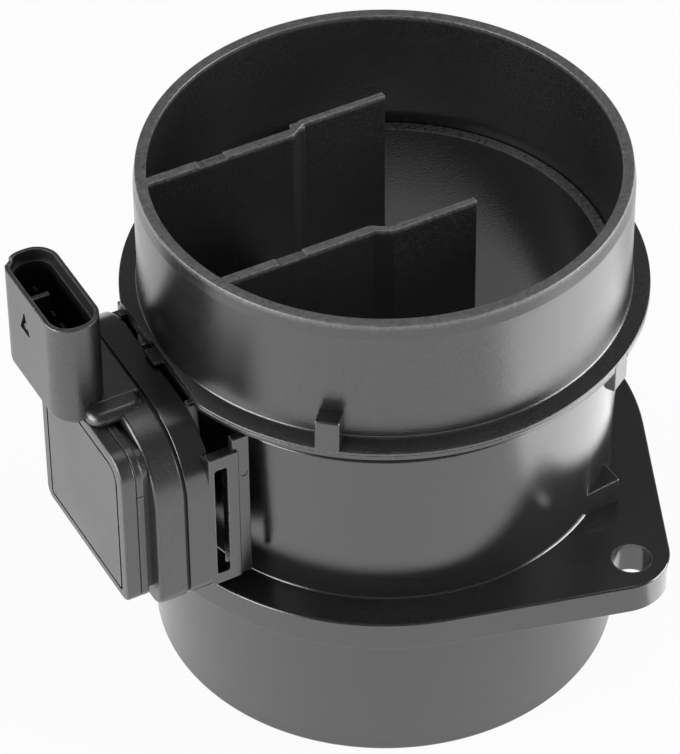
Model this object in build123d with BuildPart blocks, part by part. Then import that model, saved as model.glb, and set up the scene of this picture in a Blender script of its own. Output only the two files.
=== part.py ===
from build123d import *

import os
from math import cos, hypot, radians, sin

os.makedirs("parts", exist_ok=True)

# Mass airflow sensor: a moulded metering tube with a bolt flange, a clipped-on inlet collar that
# carries two guide vanes, and an electronics module on its side whose probe reaches into the air
# stream. Millimetres. The origin is the centre of the lower spigot's end, +Z runs up the tube's
# axis towards the inlet and the module sits on the -X side.

# ---------------------------------------------------------------- driving dimensions
# Metering tube, walls given outwards from the bore
bore_radius = 38.8              # metering bore
tube_wall = 2.1                 # on top of the flange
tube_draft = 1.4                # how much wider the tube is at its shoulder
neck_wall = 2.2                 # recess between the shoulder and the lip
socket_neck_wall = 2.05         # stub of the tube inside the collar
collar_clearance = 0.15
collar_wall = 2.45
ring_overhang = 3.35            # collar ring and lip, beyond the collar
spigot_radius = 42.77           # outlet spigot, pushed into the intake hose
spigot_wall = 2.6

# Metering tube, heights given upwards from the spigot's end
spigot_length = 30.8
flange_thickness = 6.1
tube_length = 33.9              # flange to shoulder
neck_length = 4.65
lip_thickness = 0.95
lip_root_rise = 1.5             # how much deeper the lip is at its root
socket_neck_length = 1.8
bore_step_length = 5.0          # cone between the spigot's bore and the metering bore

# Bolt flange
flange_overhang = 6.7           # beyond the foot of the tube
ear_azimuth = -63.8
ear_spread = 81.7               # angle between the normals of an ear's two straight sides
ear_corner_radius = 9.5
bolt_reach = 5.9                # hole centre beyond the flange's round part
bolt_hole_radius = 3.5

# Locating lug between the flange and the tube
lug_azimuth = -51.2
lug_half_angle = 6.8
lug_overhang = 3.9              # its outer corner beyond the foot of the tube
lug_lean = 2.2                  # how far its outer corner is turned towards the ear
lug_height = 4.9
lug_root = 1.1                  # how far it runs into the tube's wall

# Inlet collar
collar_height = 25.9            # joint to rim
collar_foot_flare = 0.2         # draft below the hose seat
lead_in_height = 2.8
lead_in_depth = 0.4
ring_thickness = 0.6
foot_chamfer = 0.5              # between the ring and the collar
flat_depth = 2.5                # chord flat on ring and lip, where the module passes

# Collar tabs
index_rib_azimuth = -130.5
index_rib_width = 4.4
index_rib_height = 6.7          # above the joint
index_rib_root = 0.6            # how far it runs into the collar's wall
snap_arm_azimuth = -57.7
snap_arm_width = 4.5
snap_arm_thickness = 1.9
snap_arm_drop = 5.4             # below the joint
snap_hook_reach = 1.5
snap_hook_height = 1.4
snap_clearance = 0.2
tongue_width = 4.0
tongue_length = 2.0             # beyond the chord flat
tongue_offset = -0.2

# Guide vanes
vane_spacing = 27.7             # between the inner faces of the two vanes at the wall
vane_thickness = 1.75
vane_jog_start = -10.4
vane_jog_length = 2.9
vane_jog_step = 1.9
vane_tip_thickness = 1.3
vane_end = 8.8
vane_depth = 38.0               # below the rim
vane_clearance = 0.5            # to the metering bore and its top
vane_bite = 0.3                 # how far a vane runs into the collar's wall
stub_width = 2.2
stub_reach = 1.3

# Collar seal, a ring of triangular section in the corner between the stub and the lip
seal_leg = 1.6

# Pad on the tube that carries the module
pad_standoff = 3.9              # pad's face beyond the lip
pad_thickness = 5.2
pad_half_width = 23.0
pad_rise = 3.0                  # pad's foot above the flange
pad_height = 36.0
pad_low_radius = 3.5
pad_high_radius = 12.9
stem_half_width = 11.0
stem_inset_low = 2.7
stem_inset_high = 3.9
wing_thickness = 2.0
wing_depth = 4.8                # pad's back to the column
wing_inset_low = 1.5
wing_height = 29.6
slot_depth = 2.5
slot_margin_low = 2.4
slot_margin_high = 2.7
column_depth = 2.2
column_setback = 0.5
column_overshoot = 2.4          # above the wing
tie_bar_y = 13.0
tie_bar_width = 1.0
tie_bar_height = 0.9

# Passage for the probe through pad, stem and tube
passage_half_width = 7.4
passage_inset_low = 7.1         # above the pad's foot
passage_height = 21.0
passage_corner = 2.0

# Electronics module, thicknesses given outwards from the pad's face
seam_gap = 0.5                  # filled by the housing seal
seam_inset = 0.6
block_thickness = 5.4
block_edge = 0.6
recess_thickness = 1.1
recess_inset = 1.0
frame_thickness = 1.5
frame_width = 3.0
cover_thickness = 2.7
cover_edge = 0.4
cover_pocket = 1.2
lid_half_width = 16.4
lid_centre = -4.6
lid_inset_low = 2.2             # above the pad's foot
lid_height = 32.2
lid_low_radius = 2.3
lid_high_radius = 4.9
least_corner = 1.0              # smallest corner radius of what is drawn in from the lid's outline
panel_inset = 2.05
panel_inset_low = 1.65
panel_low_radius = 1.0
panel_high_radius = 3.4
panel_groove_width = 0.45
panel_groove_depth = 0.5

# Connector shroud on the module
socket_setback = 0.5            # its centre behind the cover's face
socket_y = 4.9
socket_half_depth = 4.9
socket_half_width = 11.8
socket_corner = 4.4
socket_drop = 0.8               # its foot below the lid's top
socket_height = 21.5
socket_wall = 1.25
socket_floor_thickness = 5.5
socket_edge = 0.3
key_rib_width = 1.2
key_rib_depth = 1.0
latch_y = 6.0
latch_width = 5.0
latch_height = 5.0
latch_depth = 0.6
latch_drop = 4.0                # its top below the shroud's rim
bridge_height = 2.4
lid_clearance = 0.3             # between the lid and the shroud above it

# Terminals, stamped strips moulded into the housing
terminal_count = 5
terminal_pitch = 3.6            # in the socket
tail_pitch = 2.6                # over the board
tail_centre = 2.0
terminal_thickness = 0.64
terminal_width = 1.5
terminal_edge = 0.16
terminal_recess = 5.5           # tips below the shroud's rim
terminal_leg_rise = 0.9         # leg above the shroud's underside
tail_overlap = 2.2              # how far a tail reaches down over the board

# Electronics in the housing's cavity
cavity_floor = 1.8
cavity_wall = 2.2
plate_margin = 1.0
plate_thickness = 0.9
board_margin = 1.2
board_thickness = 0.7
chip_side = 7.0
chip_thickness = 1.0
chip_y = -8.0
chip_rise = 17.9                # centre above the lid's foot
capacitor_count = 4
capacitor_length = 2.0
capacitor_width = 1.25
capacitor_height = 1.0
capacitor_pitch = 3.0
capacitor_rise = 8.9

# Probe arm, moulded with the housing
passage_clearance = 0.25
probe_tip = 12.0                # distance of its end from the tube's axis
probe_edge_radius = 1.2
duct_start = 16.0               # bypass duct through the arm, from the tube's axis
duct_length = 15.0
duct_half_width = 4.4
probe_cover_thickness = 1.3
probe_cover_margin = 2.0
carrier_half_height = 3.4
carrier_thickness = 1.2
carrier_reach = 21.0            # distance of the sensing blade's end from the tube's axis
film_side = 3.6
film_margin = 1.0
film_thickness = 0.4
bead_radius = 1.2
bead_length = 2.4
bead_standoff = 3.0
bead_x = 22.0
lead_radius = 0.3
lead_spacing = 1.3

# ---------------------------------------------------------------- radii and heights that follow
tube_foot_radius = bore_radius + tube_wall
tube_head_radius = tube_foot_radius + tube_draft
neck_radius = bore_radius + neck_wall
socket_neck_radius = bore_radius + socket_neck_wall
collar_bore_radius = socket_neck_radius + collar_clearance
collar_radius = collar_bore_radius + collar_wall
lip_radius = collar_radius + ring_overhang
flat_offset = lip_radius - flat_depth
flange_radius = tube_foot_radius + flange_overhang

flange_top = spigot_length + flange_thickness
shoulder_z = flange_top + tube_length
lip_low = shoulder_z + neck_length
joint_z = lip_low + lip_thickness
ring_top = joint_z + ring_thickness
ledge_z = joint_z + socket_neck_length
rim_z = joint_z + collar_height

pad_face = lip_radius + pad_standoff
pad_back = pad_face - pad_thickness
pad_low = flange_top + pad_rise
pad_high = pad_low + pad_height
passage_low = pad_low + passage_inset_low
passage_high = passage_low + passage_height
block_back = pad_face + seam_gap
block_face = block_back + block_thickness
frame_back = block_face + recess_thickness
frame_face = frame_back + frame_thickness
cover_face = frame_face + cover_thickness
lid_low = pad_low + lid_inset_low
lid_high = lid_low + lid_height


def side_plane(distance):
    """Plane that faces away from the tube on the module's side; its x runs to -Y and its y runs up."""
    return Plane(origin=(-distance, 0, 0), x_dir=(0, -1, 0), z_dir=(-1, 0, 0))


def upright_outline(plane, centre, half_width, low, high, low_radius, high_radius):
    """Upright rectangle with one corner radius at its foot and another at its head."""
    with BuildSketch(plane) as outline:
        with Locations((-centre, (low + high) / 2)):
            Rectangle(2 * half_width, high - low)
        fillet(outline.vertices().group_by(Axis.Y)[0], low_radius)
        fillet(outline.vertices().group_by(Axis.Y)[-1], high_radius)
    return outline.sketch


def polar(radius, azimuth):
    """Point at a radius and an azimuth in degrees."""
    return (radius * cos(radians(azimuth)), radius * sin(radians(azimuth)))


# ---------------------------------------------------------------- flow body
ear_reach = flange_radius / cos(radians(ear_spread / 2))

with BuildPart() as flow_body:
    with BuildSketch(Plane.XZ) as tube_section:
        with BuildLine():
            Polyline(
                (0, 0),
                (spigot_radius, 0),
                (spigot_radius, spigot_length),
                (flange_radius, spigot_length),
                (flange_radius, flange_top),
                (tube_foot_radius, flange_top),
                (tube_head_radius, shoulder_z),
                (neck_radius, shoulder_z),
                (neck_radius, lip_low - lip_root_rise),
                (lip_radius, lip_low),
                (lip_radius, joint_z),
                (socket_neck_radius, joint_z),
                (socket_neck_radius, ledge_z),
                (0, ledge_z),
                close=True,
            )
        make_face()
    revolve(axis=Axis.Z)

    with BuildSketch(Plane.XY.offset(spigot_length)) as ears:
        with PolarLocations(0, 2, start_angle=ear_azimuth):
            Polygon(
                (0, 0),
                polar(flange_radius, -ear_spread / 2),
                (ear_reach, 0),
                polar(flange_radius, ear_spread / 2),
                align=None,
            )
        fillet(ears.vertices().sort_by(lambda v: hypot(v.X, v.Y))[-2:], ear_corner_radius)
        Circle(flange_radius)
    extrude(amount=flange_thickness)

    with BuildSketch(Plane.XY.offset(flange_top)):
        Polygon(
            polar(tube_foot_radius - lug_root, lug_azimuth - lug_half_angle),
            polar(tube_foot_radius, lug_azimuth - lug_half_angle),
            polar(tube_foot_radius + lug_overhang, lug_azimuth + lug_lean),
            polar(tube_foot_radius, lug_azimuth + lug_half_angle),
            polar(tube_foot_radius - lug_root, lug_azimuth + lug_half_angle),
            align=None,
        )
    extrude(amount=lug_height)

    with BuildSketch(Plane.XY.offset(shoulder_z)):
        with Locations((-flat_offset, 0)):
            Rectangle(2 * lip_radius, 2 * lip_radius, align=(Align.MAX, Align.CENTER))
    extrude(amount=joint_z - shoulder_z, mode=Mode.SUBTRACT)

    pad_outline = upright_outline(
        side_plane(pad_back), 0, pad_half_width, pad_low, pad_high, pad_low_radius, pad_high_radius
    )
    extrude(pad_outline, amount=pad_thickness)

    with BuildSketch(side_plane(pad_back)):
        with Locations((0, pad_low + stem_inset_low)):
            Rectangle(
                2 * stem_half_width,
                pad_height - stem_inset_low - stem_inset_high,
                align=(Align.CENTER, Align.MIN),
            )
    extrude(amount=-(pad_back - bore_radius))

    wing_low = pad_low + wing_inset_low
    column_x = wing_depth - pad_back
    for side in (-1, 1):
        with BuildSketch(Plane.XZ.offset(side * pad_half_width)):
            with Locations((-pad_back, wing_low)):
                Rectangle(wing_depth, wing_height, align=(Align.MIN, Align.MIN))
            with Locations((-pad_back, wing_low + slot_margin_low)):
                Rectangle(
                    slot_depth,
                    wing_height - slot_margin_low - slot_margin_high,
                    align=(Align.MIN, Align.MIN),
                    mode=Mode.SUBTRACT,
                )
        extrude(amount=-side * wing_thickness)
        with BuildSketch(Plane.XZ.offset(side * (pad_half_width - column_setback))):
            with Locations((column_x, wing_low)):
                Rectangle(column_depth, wing_height + column_overshoot, align=(Align.MIN, Align.MIN))
        extrude(amount=-side * (wing_thickness - column_setback))
        with BuildSketch(Plane.XY.offset(lip_low)):
            with Locations((-pad_back, side * tie_bar_y)):
                Rectangle(pad_back - flat_offset, tie_bar_width, align=(Align.MIN, Align.CENTER))
        extrude(amount=tie_bar_height)

    with BuildSketch(Plane.XZ) as bore_section:
        with BuildLine():
            Polyline(
                (0, 0),
                (spigot_radius - spigot_wall, 0),
                (spigot_radius - spigot_wall, spigot_length - bore_step_length / 2),
                (bore_radius, spigot_length + bore_step_length / 2),
                (bore_radius, ledge_z),
                (0, ledge_z),
                close=True,
            )
        make_face()
    revolve(axis=Axis.Z, mode=Mode.SUBTRACT)

    passage_outline = upright_outline(
        side_plane(pad_face), 0, passage_half_width, passage_low, passage_high, passage_corner, passage_corner
    )
    extrude(passage_outline, amount=-(pad_face - bore_radius / 2), mode=Mode.SUBTRACT)

    with BuildSketch(Plane.XY.offset(spigot_length)):
        with PolarLocations(flange_radius + bolt_reach, 2, start_angle=ear_azimuth):
            Circle(bolt_hole_radius)
    extrude(amount=flange_thickness, mode=Mode.SUBTRACT)

    for azimuth in (snap_arm_azimuth, snap_arm_azimuth + 180):
        with BuildSketch(Plane.XY.offset(shoulder_z).rotated((0, 0, azimuth))):
            with Locations((lip_radius - snap_arm_thickness - snap_clearance, 0)):
                Rectangle(lip_radius, snap_arm_width + 2 * snap_clearance, align=(Align.MIN, Align.CENTER))
        extrude(amount=joint_z - shoulder_z, mode=Mode.SUBTRACT)

flow_body.part.label = "flow_body"
export_step(flow_body.part, "parts/flow_body.step")

# ---------------------------------------------------------------- collar seal
with BuildPart() as collar_seal:
    with BuildSketch(Plane.XZ):
        Polygon(
            (socket_neck_radius, joint_z),
            (socket_neck_radius + seal_leg, joint_z),
            (socket_neck_radius, joint_z + seal_leg),
            align=None,
        )
    revolve(axis=Axis.Z)
collar_seal.part.label = "collar_seal"
export_step(collar_seal.part, "parts/collar_seal.step")

# ---------------------------------------------------------------- inlet collar with guide vanes
vane_inner = vane_spacing / 2
vane_root = collar_bore_radius + vane_bite
seal_chamfer = seal_leg - collar_clearance
jog_end = vane_jog_start + vane_jog_length


def vane_plan(side):
    """Plan of one guide vane: straight from the wall, a jog outwards, then a thinner free end."""
    stem_out = vane_inner + vane_thickness
    tip_in = vane_inner + vane_jog_step
    tip_out = tip_in + vane_tip_thickness
    with BuildSketch(Plane.XY.offset(rim_z - vane_depth)) as plan:
        with BuildLine():
            Polyline(
                (-vane_root, side * vane_inner),
                (vane_jog_start, side * vane_inner),
                (jog_end, side * tip_in),
                (vane_end, side * tip_in),
                (vane_end, side * tip_out),
                (jog_end, side * tip_out),
                (vane_jog_start, side * stem_out),
                (-vane_root, side * stem_out),
                close=True,
            )
        make_face()
    return plan.sketch


with BuildPart() as inlet_collar:
    for side in (-1, 1):
        extrude(vane_plan(side), amount=vane_depth)
    with BuildSketch(Plane.XZ):
        with BuildLine():
            Polyline(
                (bore_radius - vane_clearance, rim_z - vane_depth),
                (bore_radius - vane_clearance, ledge_z + vane_clearance),
                (vane_root, ledge_z + vane_clearance),
                (vane_root, rim_z),
                (2 * vane_root, rim_z),
                (2 * vane_root, rim_z - vane_depth),
                close=True,
            )
        make_face()
    revolve(axis=Axis.Z, mode=Mode.SUBTRACT)

    with BuildSketch(Plane.XZ):
        with BuildLine():
            Polyline(
                (collar_bore_radius + seal_chamfer, joint_z),
                (lip_radius, joint_z),
                (lip_radius, ring_top),
                (collar_radius + collar_foot_flare + foot_chamfer, ring_top),
                (collar_radius + collar_foot_flare, ring_top + foot_chamfer),
                (collar_radius, joint_z + index_rib_height),
                (collar_radius, rim_z - lead_in_height),
                (collar_radius - lead_in_depth, rim_z),
                (collar_bore_radius, rim_z),
                (collar_bore_radius, joint_z + seal_chamfer),
                close=True,
            )
        make_face()
    revolve(axis=Axis.Z)

    with BuildSketch(Plane.XY.offset(joint_z)):
        with Locations((-flat_offset, 0)):
            Rectangle(2 * lip_radius, 2 * lip_radius, align=(Align.MAX, Align.CENTER))
    extrude(amount=ring_thickness, mode=Mode.SUBTRACT)

    for azimuth in (index_rib_azimuth, index_rib_azimuth + 180):
        with BuildSketch(Plane.XY.offset(joint_z).rotated((0, 0, azimuth))):
            with Locations((collar_radius - index_rib_root, 0)):
                Rectangle(
                    ring_overhang + index_rib_root, index_rib_width, align=(Align.MIN, Align.CENTER)
                )
        extrude(amount=index_rib_height)

    arm_inner = lip_radius - snap_arm_thickness
    hook_inner = arm_inner - snap_hook_reach
    hook_top = lip_low - lip_root_rise / 2 - snap_clearance
    for azimuth in (snap_arm_azimuth, snap_arm_azimuth + 180):
        with BuildSketch(Plane.XZ.rotated((0, 0, azimuth)).offset(-snap_arm_width / 2)):
            Polygon(
                (arm_inner, ring_top),
                (arm_inner, hook_top),
                (hook_inner, hook_top - snap_hook_height / 2),
                (hook_inner, hook_top - snap_hook_height),
                (arm_inner, joint_z - snap_arm_drop),
                (lip_radius, joint_z - snap_arm_drop),
                (lip_radius, ring_top),
                align=None,
            )
        extrude(amount=snap_arm_width)

    with BuildSketch(Plane.XY.offset(joint_z)):
        with Locations((-flat_offset, tongue_offset)):
            Rectangle(tongue_length, tongue_width, align=(Align.MAX, Align.CENTER))
        for side in (-1, 1):
            with Locations((-flat_offset, side * tie_bar_y)):
                Rectangle(tongue_length / 2, tie_bar_width, align=(Align.MAX, Align.CENTER))
    extrude(amount=ring_thickness)

    with BuildSketch(Plane.XY.offset(rim_z - vane_depth)):
        with Locations((jog_end, vane_inner + vane_thickness)):
            Rectangle(stub_width, 2 * stub_reach, align=(Align.MAX, Align.CENTER))
    extrude(amount=vane_depth)

inlet_collar.part.label = "inlet_collar"
export_step(inlet_collar.part, "parts/inlet_collar.step")

# ---------------------------------------------------------------- electronics module
probe_half_width = passage_half_width - passage_clearance
probe_low = passage_low + passage_clearance
probe_high = passage_high - passage_clearance
probe_mid = (probe_low + probe_high) / 2
cavity_back = block_back + cavity_floor
board_back = cavity_back + plate_thickness
board_face = board_back + board_thickness
board_high = lid_high - cavity_wall - plate_margin - board_margin
socket_x = socket_setback - cover_face
socket_low = lid_high - socket_drop
socket_rim = socket_low + socket_height
socket_floor = socket_low + socket_floor_thickness
shroud_low = lid_high + lid_clearance
bridge_high = shroud_low + bridge_height
terminal_leg_z = shroud_low + terminal_leg_rise
terminal_tip = socket_rim - terminal_recess

# Terminals: an upright blade in the socket, a leg through the bridge that fans in, a tail on the board
terminals = []
for index in range(terminal_count):
    blade_y = socket_y + (index - (terminal_count - 1) / 2) * terminal_pitch
    tail_y = tail_centre + (index - (terminal_count - 1) / 2) * tail_pitch
    tail_x = -board_face - terminal_thickness / 2
    with BuildPart() as terminal:
        with BuildSketch(Plane.XY.offset(terminal_leg_z)):
            with Locations((socket_x, blade_y)):
                Rectangle(terminal_thickness, terminal_width)
        extrude(amount=terminal_tip - terminal_leg_z)
        chamfer(terminal.faces().sort_by(Axis.Z)[-1].edges(), terminal_edge)
        with BuildSketch(Plane.XY.offset(terminal_leg_z)):
            Polygon(
                (socket_x - terminal_thickness / 2, blade_y - terminal_width / 2),
                (socket_x + terminal_thickness / 2, blade_y - terminal_width / 2),
                (tail_x - terminal_thickness / 2, tail_y - terminal_width / 2),
                (tail_x + terminal_thickness / 2, tail_y - terminal_width / 2),
                (tail_x + terminal_thickness / 2, tail_y + terminal_width / 2),
                (tail_x - terminal_thickness / 2, tail_y + terminal_width / 2),
                (socket_x + terminal_thickness / 2, blade_y + terminal_width / 2),
                (socket_x - terminal_thickness / 2, blade_y + terminal_width / 2),
                align=None,
            )
        extrude(amount=terminal_thickness)
        with BuildSketch(Plane.XY.offset(board_high - tail_overlap)):
            with Locations((tail_x, tail_y)):
                Rectangle(terminal_thickness, terminal_width)
        extrude(amount=terminal_leg_z - board_high + tail_overlap)
    terminal.part.label = f"terminal_{index + 1}"
    export_step(terminal.part, f"parts/terminal_{index + 1}.step")
    terminals.append(terminal.part)


def lid_outline(distance, inset):
    """Outline shared by the housing's recess, the lid frame and the cover, drawn in by an inset."""
    return upright_outline(
        side_plane(distance),
        lid_centre,
        lid_half_width - inset,
        lid_low + inset,
        lid_high - inset,
        max(lid_low_radius - inset, least_corner),
        max(lid_high_radius - inset, least_corner),
    )


def shroud_plan(height, inset):
    """Plan of the connector shroud at a height, drawn in by an inset."""
    with BuildSketch(Plane.XY.offset(height)) as plan:
        with Locations((socket_x, socket_y)):
            RectangleRounded(
                2 * (socket_half_depth - inset), 2 * (socket_half_width - inset), socket_corner - inset
            )
    return plan.sketch


with BuildPart() as module_housing:
    block_outline = upright_outline(
        side_plane(block_back), 0, pad_half_width, pad_low, pad_high, pad_low_radius, pad_high_radius
    )
    extrude(block_outline, amount=block_thickness)
    chamfer(module_housing.faces().sort_by(Axis.X)[0].edges(), block_edge)
    extrude(lid_outline(block_face, recess_inset), amount=recess_thickness)

    extrude(shroud_plan(socket_low, 0), amount=socket_rim - socket_low)
    chamfer(module_housing.faces().sort_by(Axis.Z)[-1].edges(), socket_edge)
    with BuildSketch(Plane.XY.offset(shroud_low)):
        with Locations((socket_x, socket_y)):
            Rectangle(
                -block_back - socket_x, 2 * socket_half_width, align=(Align.MIN, Align.CENTER)
            )
    extrude(amount=bridge_high - shroud_low)
    with BuildSketch(Plane.XY.offset(pad_high - pad_high_radius)):
        with Locations((-block_back, socket_y)):
            Rectangle(
                block_thickness, 2 * socket_half_width, align=(Align.MAX, Align.CENTER)
            )
    extrude(amount=bridge_high - pad_high + pad_high_radius)
    with BuildSketch(Plane.XY.offset(lid_low)):
        with Locations((-block_face - recess_thickness, lid_centre)):
            Rectangle(
                frame_thickness + cover_thickness + lid_clearance,
                2 * (lid_half_width + lid_clearance),
                align=(Align.MAX, Align.CENTER),
            )
    extrude(amount=shroud_low - lid_low, mode=Mode.SUBTRACT)

    extrude(shroud_plan(socket_floor, socket_wall), amount=socket_rim - socket_floor, mode=Mode.SUBTRACT)
    with BuildSketch(Plane.XY.offset(socket_floor)):
        with Locations((socket_x - socket_half_depth + socket_wall, socket_y)):
            Rectangle(key_rib_depth, key_rib_width, align=(Align.MIN, Align.CENTER))
    extrude(amount=terminal_tip - socket_floor)
    with BuildSketch(side_plane(-socket_x + socket_half_depth)):
        with Locations((-latch_y, socket_rim - latch_drop)):
            Triangle(a=latch_width, b=latch_height, c=latch_height, align=(Align.CENTER, Align.MAX))
    extrude(amount=-latch_depth, mode=Mode.SUBTRACT)

    probe_outline = upright_outline(
        side_plane(probe_tip),
        0,
        probe_half_width,
        probe_low,
        probe_high,
        probe_edge_radius,
        probe_edge_radius,
    )
    extrude(probe_outline, amount=block_back - probe_tip)

    cavity_outline = lid_outline(cavity_back, cavity_wall)
    extrude(cavity_outline, amount=block_face + recess_thickness - cavity_back, mode=Mode.SUBTRACT)

    with BuildSketch(Plane.XY.offset(probe_low)):
        with Locations((-duct_start, -probe_half_width)):
            Rectangle(duct_length, probe_half_width + duct_half_width, align=(Align.MAX, Align.MIN))
    extrude(amount=probe_high - probe_low, mode=Mode.SUBTRACT)
    with BuildSketch(Plane.XZ.offset(probe_half_width)):
        with Locations((-duct_start + probe_cover_margin, probe_low)):
            Rectangle(
                duct_length + 2 * probe_cover_margin, probe_high - probe_low, align=(Align.MAX, Align.MIN)
            )
    extrude(amount=-probe_cover_thickness, mode=Mode.SUBTRACT)
    with BuildSketch(side_plane(duct_start + duct_length)):
        with Locations((0, probe_mid)):
            Rectangle(carrier_thickness, 2 * carrier_half_height)
    extrude(amount=cavity_back - duct_start - duct_length, mode=Mode.SUBTRACT)

    for terminal_part in terminals:
        add(terminal_part, mode=Mode.SUBTRACT)
module_housing.part.label = "module_housing"
export_step(module_housing.part, "parts/module_housing.step")

# ---------------------------------------------------------------- housing seal
with BuildPart() as housing_seal:
    seal_outline = upright_outline(
        side_plane(pad_face),
        0,
        pad_half_width - seam_inset,
        pad_low + seam_inset,
        pad_high - seam_inset,
        pad_low_radius - seam_inset,
        pad_high_radius - seam_inset,
    )
    extrude(seal_outline, amount=seam_gap)
    seal_window = upright_outline(
        side_plane(pad_face), 0, passage_half_width, passage_low, passage_high, passage_corner, passage_corner
    )
    extrude(seal_window, amount=seam_gap, mode=Mode.SUBTRACT)
housing_seal.part.label = "housing_seal"
export_step(housing_seal.part, "parts/housing_seal.step")

# ---------------------------------------------------------------- lid frame and cover
with BuildPart() as lid_frame:
    extrude(lid_outline(frame_back, 0), amount=frame_thickness)
    extrude(lid_outline(frame_back, frame_width), amount=frame_thickness, mode=Mode.SUBTRACT)
lid_frame.part.label = "lid_frame"
export_step(lid_frame.part, "parts/lid_frame.step")



def panel_outline(inset):
    """Outline of the label panel on the cover's face, drawn in by an inset."""
    return upright_outline(
        side_plane(cover_face),
        lid_centre,
        lid_half_width - panel_inset - inset,
        lid_low + panel_inset_low + inset,
        lid_high - panel_inset - inset,
        panel_low_radius - inset,
        panel_high_radius - inset,
    )


panel_groove = panel_outline(0) - panel_outline(panel_groove_width)

with BuildPart() as module_cover:
    extrude(lid_outline(frame_face, 0), amount=cover_thickness)
    chamfer(module_cover.faces().sort_by(Axis.X)[0].edges(), cover_edge)
    extrude(lid_outline(frame_face, frame_width), amount=cover_pocket, mode=Mode.SUBTRACT)
    extrude(panel_groove, amount=-panel_groove_depth, mode=Mode.SUBTRACT)
module_cover.part.label = "module_cover"
export_step(module_cover.part, "parts/module_cover.step")

# ---------------------------------------------------------------- electronics
with BuildPart() as base_plate:
    extrude(lid_outline(cavity_back, cavity_wall + plate_margin), amount=plate_thickness)
    with BuildSketch(side_plane(cavity_back)):
        with Locations((0, probe_mid)):
            Rectangle(carrier_thickness, 2 * carrier_half_height)
    extrude(amount=plate_thickness, mode=Mode.SUBTRACT)
base_plate.part.label = "base_plate"
export_step(base_plate.part, "parts/base_plate.step")

with BuildPart() as circuit_board:
    extrude(lid_outline(board_back, cavity_wall + plate_margin + board_margin), amount=board_thickness)
    with BuildSketch(side_plane(board_back)):
        with Locations((0, probe_mid)):
            Rectangle(carrier_thickness, 2 * carrier_half_height)
    extrude(amount=board_thickness, mode=Mode.SUBTRACT)
circuit_board.part.label = "circuit_board"
export_step(circuit_board.part, "parts/circuit_board.step")

with BuildPart() as control_chip:
    with BuildSketch(side_plane(board_face)):
        with Locations((-chip_y, lid_low + chip_rise)):
            Rectangle(chip_side, chip_side)
    extrude(amount=chip_thickness)
control_chip.part.label = "control_chip"
export_step(control_chip.part, "parts/control_chip.step")

with BuildPart() as chip_capacitors:
    with BuildSketch(side_plane(board_face)):
        with Locations((-chip_y, lid_low + capacitor_rise)):
            with GridLocations(capacitor_pitch, 0, capacitor_count, 1):
                Rectangle(capacitor_width, capacitor_length)
    extrude(amount=capacitor_height)
chip_capacitors.part.label = "chip_capacitors"
export_step(chip_capacitors.part, "parts/chip_capacitors.step")

# ---------------------------------------------------------------- sensing pieces
with BuildPart() as sensor_carrier:
    with BuildSketch(side_plane(carrier_reach)):
        with Locations((0, probe_mid)):
            Rectangle(carrier_thickness, 2 * carrier_half_height)
    extrude(amount=board_face - carrier_reach)
sensor_carrier.part.label = "sensor_carrier"
export_step(sensor_carrier.part, "parts/sensor_carrier.step")

with BuildPart() as hot_film:
    with BuildSketch(Plane.XZ.offset(carrier_thickness / 2)):
        with Locations((-carrier_reach - film_margin - film_side / 2, probe_mid)):
            Rectangle(film_side, film_side)
    extrude(amount=film_thickness)
hot_film.part.label = "hot_film"
export_step(hot_film.part, "parts/hot_film.step")

with BuildPart() as probe_cover:
    with BuildSketch(Plane.XZ.offset(probe_half_width)):
        with Locations((-duct_start + probe_cover_margin, probe_low)):
            Rectangle(
                duct_length + 2 * probe_cover_margin, probe_high - probe_low, align=(Align.MAX, Align.MIN)
            )
    extrude(amount=-probe_cover_thickness)
probe_cover.part.label = "probe_cover"
export_step(probe_cover.part, "parts/probe_cover.step")

with BuildPart() as bead_leads:
    with BuildSketch(Plane.XZ.offset(-probe_half_width)):
        with Locations((-bead_x, probe_mid)):
            with GridLocations(lead_spacing, 0, 2, 1):
                Circle(lead_radius)
    extrude(amount=-bead_standoff)
bead_leads.part.label = "bead_leads"
export_step(bead_leads.part, "parts/bead_leads.step")

with BuildPart() as temperature_bead:
    with BuildSketch(Plane.XZ.offset(-probe_half_width - bead_standoff)):
        with Locations((-bead_x, probe_mid)):
            Circle(bead_radius)
    extrude(amount=-bead_length)
temperature_bead.part.label = "temperature_bead"
export_step(temperature_bead.part, "parts/temperature_bead.step")
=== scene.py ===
import math

import bmesh
import bpy
from mathutils import Matrix, Vector


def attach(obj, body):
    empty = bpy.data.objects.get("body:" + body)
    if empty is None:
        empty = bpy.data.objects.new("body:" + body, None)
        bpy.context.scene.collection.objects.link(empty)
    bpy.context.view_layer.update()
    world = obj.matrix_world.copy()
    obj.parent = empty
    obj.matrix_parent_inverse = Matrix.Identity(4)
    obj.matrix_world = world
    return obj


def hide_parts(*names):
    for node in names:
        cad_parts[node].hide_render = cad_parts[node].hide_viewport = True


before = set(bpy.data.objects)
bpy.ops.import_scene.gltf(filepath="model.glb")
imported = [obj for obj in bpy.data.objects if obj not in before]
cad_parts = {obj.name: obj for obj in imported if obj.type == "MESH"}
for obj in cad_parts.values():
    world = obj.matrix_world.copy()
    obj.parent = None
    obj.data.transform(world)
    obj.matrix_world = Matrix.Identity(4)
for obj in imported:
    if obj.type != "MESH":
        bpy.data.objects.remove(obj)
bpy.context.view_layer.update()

# ------------------------------------------------------------------ flow body
# The metering tube: one glass-filled nylon moulding with the outlet spigot, the bolt flange and its
# two ears, the lip under the inlet collar, and the pad with side loops that carries the module.
# The tool leaves drafted walls, small rounds on every edge and a fine grain.

MM = 0.001
TURN_STEPS = 240                 # facets round the big diameters
ROUND_STEPS = 5                  # facets in a small edge round

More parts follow.
